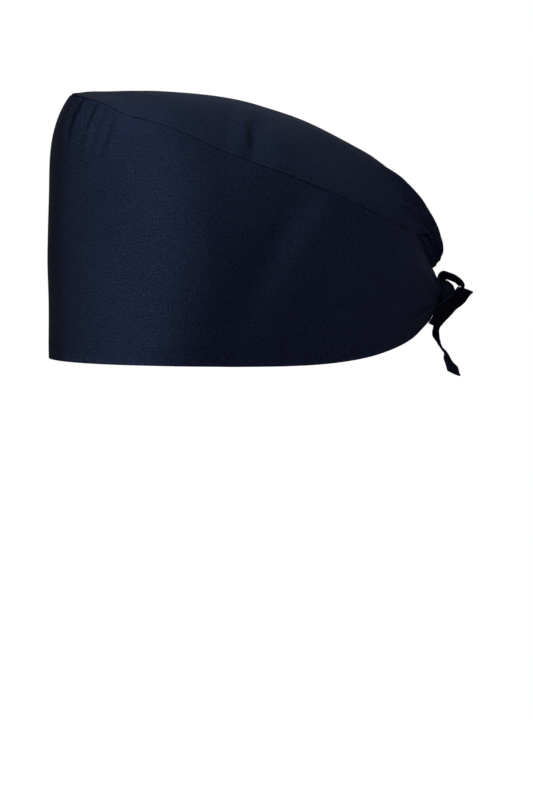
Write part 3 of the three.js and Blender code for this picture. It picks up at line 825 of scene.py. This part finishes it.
# piece, CAD node, route, steps along it, hollow across, creases, seed, and how narrow the strap starts, with
# the shares of its length where it begins to widen and is full.
STRAPS = {
    "loop": ("bow_loop_cloth", "tie_loop", LOOP_ROUTE, 64, 0.5, 0.5, 3, (0.66, 0.15, 0.5)),
    "short": ("short_end_cloth", "tie_short_end", SHORT_END_ROUTE, 64, 0.35, 0.6, 8, (0.98, 0.0, 0.35)),
    "tail": ("tail_end_cloth", "tie_tail", TAIL_ROUTE, 90, 0.4, 0.5, 14, (0.7, 0.5, 0.9)),
}
# The knot's core and the loop's first leg are fuller than the CAD solids, so that no light shows past them.
KNOT = {"x": 0.0, "y": 119.3, "z": 34.2, "half_x": 5.6, "half_y": 5.4, "half_z": 10.2}
KNOT_ROUND, KNOT_TALL = 0.030, 0.022  # the core's cloth in metres, round and from foot to top
WRAP = {"half_x": 6.9, "half_y": 6.2, "width": 7.4, "tilt": 25.0}


def through_points(rows, steps):
    """A smooth curve through rows of numbers, spaced by the distance between their first three."""
    rows = np.array(rows, float)
    knots = np.concatenate([[0], np.cumsum(np.sqrt(np.linalg.norm(np.diff(rows[:, :3], axis=0), axis=1)))])
    first, last = 2 * rows[0] - rows[1], 2 * rows[-1] - rows[-2]
    p = np.vstack([first, rows, last])
    t = np.concatenate([[2 * knots[0] - knots[1]], knots, [2 * knots[-1] - knots[-2]]])
    out = []
    for i in range(1, len(p) - 2):
        share = np.linspace(0, 1, 12, endpoint=i == len(p) - 3)[:, None]
        x = t[i] + (t[i + 1] - t[i]) * share

        def blend(a, b, ta, tb):
            return ((tb - x) * a + (x - ta) * b) / (tb - ta)
        a1, a2, a3 = (blend(p[i - 1 + k], p[i + k], t[i - 1 + k], t[i + k]) for k in range(3))
        b1, b2 = blend(a1, a2, t[i - 1], t[i + 1]), blend(a2, a3, t[i], t[i + 2])
        out.append(blend(b1, b2, t[i], t[i + 1]))
    dense = np.concatenate(out)
    length = np.concatenate([[0], np.cumsum(np.linalg.norm(np.diff(dense[:, :3], axis=0), axis=1))])
    even = np.linspace(0, length[-1], steps)
    return np.stack([np.interp(even, length, dense[:, k]) for k in range(dense.shape[1])], -1), length[-1]


def strap_grid(route, steps, cup, ripples, seed, narrow):
    """Points of a strap's middle face along a route, and its length. cup hollows it, ripples creases it."""
    rows, length = through_points(route, steps)
    middle, width = rows[:, :3], rows[:, 3:]
    tangent = unit(np.gradient(middle, axis=0))
    width = unit(width - tangent * (width * tangent).sum(-1, keepdims=True))
    normal = np.cross(tangent, width)
    s = np.linspace(-1, 1, STRAP_COLUMNS)[None, :, None]
    share = np.linspace(0, 1, steps)
    start_width, widens, full = narrow
    shape = start_width + (1 - start_width) * smooth_step(share, widens, full)
    half = (TIE_WIDTH / 2 - 0.25) * shape[:, None, None]
    lift = cup * (s ** 2 - 0.4) * np.ones((steps, 1, 1))
    rng = np.random.default_rng(seed)
    for _ in range(4):
        k, phase, slope = rng.uniform(0.25, 0.8), rng.uniform(0, 6.28), rng.uniform(-0.8, 0.8)
        wave = np.sin(k * (share[:, None, None] * length + slope * s * TIE_WIDTH / 2) + phase)
        lift = lift + ripples / 4 * wave
    points = middle[:, None, :] + width[:, None, :] * s * half + normal[:, None, :] * lift
    return points, length


def grid_faces(rows, columns):
    j, i = np.meshgrid(np.arange(rows - 1), np.arange(columns - 1), indexing="ij")
    a = (j * columns + i).ravel()
    return np.stack([a, a + 1, a + columns + 1, a + columns], -1)


def make_strap(name, node, route, steps, cup, ripples, seed, narrow):
    points, length = strap_grid(route, steps, cup, ripples, seed, narrow)
    along, across = arc_lengths(points, 0), arc_lengths(points, 1)
    uv = np.stack([across, along], -1).reshape(-1, 2)
    edge = np.abs(np.linspace(-1, 1, STRAP_COLUMNS))[None, :] * np.ones((steps, 1))
    piece = new_cloth(name, points.reshape(-1, 3), grid_faces(steps, STRAP_COLUMNS), uv,
                      material_for("navy poplin of the tie, with painted shade"), TIE_THICKNESS,
                      attributes={"wear_and_painted_highlight": (smooth_step(edge, 0.86, 1.0) * 0.9).ravel()}, middle=True)
    round_edges(piece, 0.32)
    settle(piece, name)
    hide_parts(node)


def round_edges(piece, width_mm):
    pick(piece)
    bevel = piece.modifiers.new("soft edge", "BEVEL")
    bevel.width, bevel.segments, bevel.limit_method = width_mm * MM, 3, "ANGLE"
    bevel.angle_limit = math.radians(50)
    bpy.ops.object.modifier_apply(modifier=bevel.name)
    bpy.ops.object.shade_smooth()


def make_tie():
    for strap in STRAPS.values():
        make_strap(*strap)


def make_knot():
    """The knot: cloth bunched lengthwise in the middle, with one turn of strap drawn tight round it."""
    material = material_for("navy poplin of the tie, with painted shade")
    pick_none()
    bpy.ops.mesh.primitive_uv_sphere_add(segments=96, ring_count=56, radius=1.0, location=(0, 0, 0))
    core = bpy.context.active_object
    co = np.zeros(len(core.data.vertices) * 3)
    core.data.vertices.foreach_get("co", co)
    co = co.reshape(-1, 3)
    turn, high = np.arctan2(co[:, 1], co[:, 0]), co[:, 2]
    waist = 1 - 0.26 * bell(high + 0.1, 0.55)
    folds = 0.085 * np.sin(7 * turn + 1.2 * high) + 0.05 * np.sin(12 * turn - 2.0 * high + 1.0)
    folds = folds - 0.10 * np.exp(-np.abs(np.sin(2.5 * turn + 0.6 * high)) * 6)
    swell = waist * (1 + folds * (0.5 + 0.5 * np.abs(high)))
    shaped = np.stack([co[:, 0] * swell * KNOT["half_x"], co[:, 1] * swell * KNOT["half_y"],
                       high * KNOT["half_z"] * (1 + 0.04 * np.sin(3 * turn))], -1)
    shaped += (KNOT["x"], KNOT["y"], KNOT["z"])
    core.data.vertices.foreach_set("co", (shaped * MM).ravel())
    core.data.uv_layers[0].name = "cloth"
    for item in core.data.uv_layers["cloth"].data:
        item.uv = (item.uv[0] * KNOT_ROUND, item.uv[1] * KNOT_TALL)
    core.data.attributes.new("wear_and_painted_highlight", "FLOAT", "POINT").data.foreach_set(
        "value", np.clip(folds * 6, 0, 1).astype(np.float32))
    core.data.materials.append(material)
    pick(core)
    bpy.ops.object.shade_smooth()
    settle(core, "knot_core_cloth")
    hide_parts("tie_knot")

    # the wrap goes once round and a little more, and its end lies over its start
    steps, columns = 132, 21
    turn = np.linspace(math.radians(150), math.radians(150 + 400), steps)
    s = np.linspace(-1, 1, columns)
    t, ss = np.meshgrid(np.linspace(0, 1, steps), s, indexing="ij")
    a = turn[:, None] * np.ones_like(ss)
    pinch = 0.80 + 0.20 * np.sin(a * 1.5 + 0.6) ** 2
    lift = -0.55 + 1.05 * smooth_step(t, 0.82, 0.93) + 0.35 * (1 - ss ** 2)
    lift = lift + 0.22 * np.sin(5.0 * ss + 3 * a) * np.sin(2.3 * a) + 0.16 * np.sin(9 * ss - 4 * a + 1.0)
    lift = lift - 0.35 * np.exp(-np.abs(ss - 0.25 * np.sin(2 * a)) * 7)
    x, y = (WRAP["half_x"] - 0.35 + lift) * np.cos(a), (WRAP["half_y"] - 0.35 + lift) * np.sin(a)
    z = ss * WRAP["width"] / 2 * pinch + 0.5 * np.sin(a)
    tilt = math.radians(WRAP["tilt"])
    points = np.stack([x + KNOT["x"], y * math.cos(tilt) - z * math.sin(tilt) + KNOT["y"],
                       y * math.sin(tilt) + z * math.cos(tilt) + KNOT["z"]], -1)
    around, across = arc_lengths(points, 0), arc_lengths(points, 1)
    wrap = new_cloth("knot_wrap_cloth", points.reshape(-1, 3), grid_faces(steps, columns),
                     np.stack([across, around], -1).reshape(-1, 2), material, 0.9,
                     attributes={"wear_and_painted_highlight": (smooth_step(np.abs(ss), 0.85, 1.0) * 0.9).ravel()}, middle=True)
    round_edges(wrap, 0.28)
    settle(wrap, "knot_wrap_cloth")
    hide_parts("knot_wrap")


# Stitching: a stitch is a short rounded bar of thread, sunk at both ends.
STITCH = {"length": 2.1, "thick": 0.24, "pitch": 3.0, "tie_pitch": 2.7, "from_hem_edge": 1.8}


def one_stitch(name, length, thick):
    """One stitch along X, modelled from a cylinder whose ends are drawn down into the cloth."""
    pick_none()
    bpy.ops.mesh.primitive_cylinder_add(vertices=6, radius=thick / 2 * MM, depth=length * MM,
                                        rotation=(0, math.pi / 2, 0), end_fill_type="NGON")
    stitch = bpy.context.active_object
    bpy.ops.object.transform_apply(location=True, rotation=True, scale=True)
    bpy.ops.object.mode_set(mode="EDIT")
    bpy.ops.mesh.select_all(action="SELECT")
    bpy.ops.mesh.bisect(plane_co=(length * 0.22 * MM, 0, 0), plane_no=(1, 0, 0))
    bpy.ops.mesh.select_all(action="SELECT")
    bpy.ops.mesh.bisect(plane_co=(-length * 0.22 * MM, 0, 0), plane_no=(1, 0, 0))
    bpy.ops.object.mode_set(mode="OBJECT")
    for vertex in stitch.data.vertices:
        if abs(vertex.co.x) > length * 0.4 * MM:
            vertex.co.y *= 0.6
            vertex.co.z = vertex.co.z * 0.6 - thick * 0.55 * MM
    stitch.name = name
    return stitch


def sew(name, rows, material):
    """Copies one stitch to every place in rows of (middle, along, up) and joins them into one piece."""
    pattern = one_stitch(name + "_pattern", STITCH["length"], STITCH["thick"])
    copies = []
    for middle, along, up in rows:
        copy = bpy.data.objects.new(name, pattern.data.copy())
        bpy.context.scene.collection.objects.link(copy)
        along = along / np.linalg.norm(along)
        up = up - along * (up @ along)
        up = up / np.linalg.norm(up)
        side = np.cross(up, along)
        turned = np.stack([along, side, up], 1)
        co = np.zeros(len(copy.data.vertices) * 3)
        copy.data.vertices.foreach_get("co", co)
        co = co.reshape(-1, 3) @ turned.T + middle * MM
        copy.data.vertices.foreach_set("co", co.ravel())
        copies.append(copy)
    bpy.data.objects.remove(pattern)
    pick(*copies)
    bpy.ops.object.join()
    row = bpy.context.active_object
    row.data.materials.clear()
    row.data.materials.append(material)
    bpy.ops.object.shade_smooth()
    settle(row, name)


def stitch_places(points, normals, pitch):
    """Middles, directions and ups of stitches along a line of points on a cloth."""
    length = np.concatenate([[0], np.cumsum(np.linalg.norm(np.diff(points, axis=0), axis=1))])
    at = np.arange(pitch / 2, length[-1], pitch)
    middle = np.stack([np.interp(at, length, points[:, k]) for k in range(3)], -1)
    up = np.stack([np.interp(at, length, normals[:, k]) for k in range(3)], -1)
    direction = np.gradient(points, axis=0)
    along = np.stack([np.interp(at, length, direction[:, k]) for k in range(3)], -1)
    return list(zip(middle, along, up))


def make_stitching():
    angle = np.linspace(-BAND_END + 1.2, BAND_END - 1.2, 1400)
    hem_z, seam_z = sections_at(angle)[:2]
    height = (HEM_DEPTH - STITCH["from_hem_edge"]) / (seam_z - hem_z)
    points, normals = band_point(angle, height), band_normal(angle, height)
    places = stitch_places(points - normals * 0.03, normals, STITCH["pitch"])
    sew("hem_stitching", places, material_for("navy thread"))
    rows = []
    for strap, start in (("short", 18), ("tail", 20)):
        points, _ = strap_grid(*STRAPS[strap][2:])
        face = unit(np.cross(np.gradient(points, axis=0), np.gradient(points, axis=1)))
        for way in (1, -1):
            skin = points + face * way * (TIE_THICKNESS / 2 + 0.02)
            for column in (1, STRAP_COLUMNS - 2):
                rows += stitch_places(skin[start:-2, column], face[start:-2, column] * way, STITCH["tie_pitch"])
            for row in (-4, -9):
                rows += stitch_places(skin[row, 1:-1], face[row, 1:-1] * way, STITCH["tie_pitch"])
    sew("tie_stitching", rows, material_for("tie thread"))


# ---------------------------------------------------------------------------------------------
# Properties, operators and panel


class CapClothSettings(bpy.types.PropertyGroup):
    navy: FloatVectorProperty(
        name="Navy", description="Colour of the band and crown cloth", subtype="COLOR", size=3,
        min=0.0, max=1.0, default=(0.0205, 0.0236, 0.0590))
    tie_navy_painted_shade: FloatVectorProperty(
        # the tie's navy is the same cloth as the cap's, darkened to about a third as painted shade
        name="Tie navy with painted shade", description="Colour of the tie's cloth", subtype="COLOR", size=3,
        min=0.0, max=1.0, default=(0.0072, 0.0080, 0.0165))
    thread_pitch: FloatProperty(
        name="Thread pitch", description="Distance from one yarn of the weave to the next",
        default=0.00033, min=0.0001, max=0.002, unit="LENGTH", precision=5)


class CapStudioSettings(bpy.types.PropertyGroup):
    floor_drop: FloatProperty(
        name="Floor below hem", description="How far the floor lies below the cap's hem",
        default=0.30, min=0.02, max=2.0, unit="LENGTH")
    key_power: FloatProperty(
        name="Side light", description="Power of the flagged light on the front of the cap", default=320.0,
        min=0.0, unit="POWER")
    top_power: FloatProperty(
        name="Top light", description="Power of the soft light above", default=420.0, min=0.0, unit="POWER")
    crown_power: FloatProperty(
        name="Crown light", description="Power of the small light that grazes the crown", default=115.0,
        min=0.0, unit="POWER")
    fill: FloatProperty(
        name="Fill", description="Brightness of the room's even light", default=0.56, min=0.0, max=5.0)


class CAP_OT_studio(bpy.types.Operator):
    """Sets the pale floor, the lamps and the camera"""

    bl_idname = "cap.studio"
    bl_label = "Studio"

    def execute(self, context):
        settings = context.scene.cap_studio
        set_room(context.scene, settings)
        set_lights(context.scene, settings)
        set_camera(context.scene)
        return {"FINISHED"}


class CAP_OT_band(bpy.types.Operator):
    """Sews the tall side band with its hem and seam edge"""

    bl_idname = "cap.band"
    bl_label = "Side band"

    def execute(self, context):
        make_band()
        return {"FINISHED"}


class CAP_OT_crown(bpy.types.Operator):
    """Sews the crown, gathered at the nape"""

    bl_idname = "cap.crown"
    bl_label = "Crown"

    def execute(self, context):
        make_crown()
        return {"FINISHED"}


class CAP_OT_casing(bpy.types.Operator):
    """Sews the gathered casing at the nape"""

    bl_idname = "cap.casing"
    bl_label = "Back casing"

    def execute(self, context):
        make_casing()
        return {"FINISHED"}


class CAP_OT_knot(bpy.types.Operator):
    """Ties the knot and its wrap"""

    bl_idname = "cap.knot"
    bl_label = "Knot"

    def execute(self, context):
        make_knot()
        return {"FINISHED"}


class CAP_OT_tie(bpy.types.Operator):
    """Makes the bow loop and the two ends of the tie"""

    bl_idname = "cap.tie"
    bl_label = "Loop and ends"

    def execute(self, context):
        make_tie()
        return {"FINISHED"}


class CAP_OT_stitching(bpy.types.Operator):
    """Sews the visible stitches of the hem and the tie"""

    bl_idname = "cap.stitching"
    bl_label = "Stitching"

    def execute(self, context):
        make_stitching()
        return {"FINISHED"}


class CAP_PT_panel(bpy.types.Panel):
    """Lists the cap's pieces in the order they are made"""

    bl_idname = "CAP_PT_panel"
    bl_label = "Scrub Cap"
    bl_space_type = "VIEW_3D"
    bl_region_type = "UI"
    bl_category = "Scrub Cap"

    def draw(self, context):
        layout = self.layout
        for group in (context.scene.cap_cloth, context.scene.cap_studio):
            for name in group.bl_rna.properties.keys():
                if name not in ("rna_type", "name"):
                    layout.prop(group, name)
        for operator in OPERATORS:
            layout.operator(operator.bl_idname)


# Three spot lamps, each flagged to a round pool on one part of the cap: where the lamp stands, the middle of
# its pool, the pool's radius, how far its edge is feathered, and the size of the lamp's face. Only the top
# lamp has a face large enough for soft shadows. The lamps' tint and the cloth's navy were chosen together.
SIDE_LIGHT = {"place": (2.20, 0.95, 0.25), "middle": (0.111, -0.320, 0.08), "radius": 0.30, "feather": 0.245,
              "face": 0.012}
TOP_LIGHT = {"place": (1.20, -0.15, 1.70), "middle": (0.03, -0.032, 0.13), "radius": 0.125, "feather": 1.0,
             "face": 0.22}
CROWN_LIGHT = {"place": (0.15, -0.95, 1.75), "middle": (0.035, -0.006, 0.14), "radius": 0.064, "feather": 0.9,
               "face": 0.02}
LAMP_COLOUR = (0.71, 1.0, 0.90)


def spot_light(scene, name, light, power):
    data = bpy.data.lights.new(name, "SPOT")
    data.energy, data.shadow_soft_size = power, light["face"]
    data.color = LAMP_COLOUR
    place, middle = Vector(light["place"]), Vector(light["middle"])
    data.spot_size = 2 * math.atan(light["radius"] / (place - middle).length)
    data.spot_blend = light["feather"]
    lamp = bpy.data.objects.new(name, data)
    scene.collection.objects.link(lamp)
    lamp.location = place
    lamp.rotation_mode = "QUATERNION"
    lamp.rotation_quaternion = (place - middle).to_track_quat("Z", "Y")
    lamp.visible_camera = False


def set_room(scene, settings):
    world = bpy.data.worlds.new("white room")
    scene.world = world
    world.use_nodes = True
    w = Wiring(world.node_tree)
    w.nodes.clear()
    result = w.add("ShaderNodeOutputWorld")
    seen, lit = w.add("ShaderNodeBackground"), w.add("ShaderNodeBackground")
    seen.inputs["Color"].default_value = (1.0, 1.0, 1.0, 1.0)
    seen.inputs["Strength"].default_value = 1.05
    lit.inputs["Strength"].default_value = settings.fill
    coordinates = w.add("ShaderNodeTexCoord")
    apart = w.add("ShaderNodeSeparateXYZ")
    w.join(coordinates.outputs["Generated"], apart.inputs[0])
    # the room is dimmest ahead of the forehead, and a little dim overhead and behind the nape
    ahead = w.ranged(apart.outputs["Y"], -1.0, 0.1, 0.25, 1.0)
    behind = w.ranged(apart.outputs["Y"], 0.5, 1.0, 1.0, 0.7)
    above = w.ranged(apart.outputs["Z"], 0.05, 0.8, 1.0, 0.34)
    shade = w.maths("MULTIPLY", w.maths("MULTIPLY", ahead, behind), above)
    tint = w.mixed(shade, (0.0, 0.0, 0.0, 1.0), (0.97, 0.98, 1.0, 1.0))
    w.join(tint, lit.inputs["Color"])
    path, choice = w.add("ShaderNodeLightPath"), w.add("ShaderNodeMixShader")
    w.join(path.outputs["Is Camera Ray"], choice.inputs[0])
    w.join(lit.outputs[0], choice.inputs[1])
    w.join(seen.outputs[0], choice.inputs[2])
    w.join(choice.outputs[0], result.inputs["Surface"])

    pick_none()
    bpy.ops.mesh.primitive_plane_add(size=60.0, location=(0.0, 0.0, -settings.floor_drop))
    floor = bpy.context.active_object
    bpy.ops.object.transform_apply(location=True, rotation=True, scale=True)
    floor.name = floor.data.name = "studio_floor"
    material = bpy.data.materials.new("pale floor")
    material.use_nodes = True
    w = Wiring(material.node_tree)
    w.nodes.clear()
    result = w.add("ShaderNodeOutputMaterial")
    # the floor glows for the camera only, so that it shows as white
    matt, glow = w.add("ShaderNodeBsdfDiffuse"), w.add("ShaderNodeEmission")
    both = w.add("ShaderNodeAddShader")
    matt.inputs["Color"].default_value = (0.80, 0.80, 0.80, 1.0)
    path = w.add("ShaderNodeLightPath")
    w.join(w.maths("MULTIPLY", path.outputs["Is Camera Ray"], 0.85), glow.inputs["Strength"])
    w.join(matt.outputs[0], both.inputs[0])
    w.join(glow.outputs[0], both.inputs[1])
    w.join(both.outputs[0], result.inputs["Surface"])
    floor.data.materials.append(material)


def set_lights(scene, settings):
    spot_light(scene, "flagged side light", SIDE_LIGHT, settings.key_power)
    spot_light(scene, "soft light above", TOP_LIGHT, settings.top_power)
    spot_light(scene, "crown light", CROWN_LIGHT, settings.crown_power)


CAMERA_DISTANCE = 6.0
CAMERA_ELEVATION = 3.0
VIEW_HEIGHT = 0.460
AIM = (0.0, 0.0157, -0.0242)
EYE_LEVEL = 0.075


def set_camera(scene):
    data = bpy.data.cameras.new("camera")
    camera = bpy.data.objects.new("camera", data)
    scene.collection.objects.link(camera)
    rise = CAMERA_DISTANCE * math.tan(math.radians(CAMERA_ELEVATION))
    eye = Vector((CAMERA_DISTANCE, AIM[1], EYE_LEVEL + rise))
    target = Vector(AIM)
    camera.location = eye
    camera.rotation_mode = "QUATERNION"
    camera.rotation_quaternion = (eye - target).to_track_quat("Z", "Y")
    data.sensor_width = 36.0
    data.lens = data.sensor_width * (eye - target).length / VIEW_HEIGHT
    data.clip_start, data.clip_end = 0.1, 200.0
    scene.camera = camera
    scene.view_settings.view_transform = "Standard"
    scene.view_settings.look = "None"


OPERATORS = (CAP_OT_studio, CAP_OT_band, CAP_OT_crown, CAP_OT_casing, CAP_OT_knot, CAP_OT_tie,
             CAP_OT_stitching)
CLASSES = (CapClothSettings, CapStudioSettings, *OPERATORS, CAP_PT_panel)


def register():
    for item in CLASSES:
        bpy.utils.register_class(item)
    bpy.types.Scene.cap_cloth = PointerProperty(type=CapClothSettings)
    bpy.types.Scene.cap_studio = PointerProperty(type=CapStudioSettings)


def unregister():
    del bpy.types.Scene.cap_studio
    del bpy.types.Scene.cap_cloth
    for item in reversed(CLASSES):
        bpy.utils.unregister_class(item)


def main():
    register()
    bpy.ops.cap.studio()
    bpy.ops.cap.band()
    bpy.ops.cap.crown()
    bpy.ops.cap.casing()
    bpy.ops.cap.knot()
    bpy.ops.cap.tie()
    bpy.ops.cap.stitching()


if __name__ == "__main__":
    main()
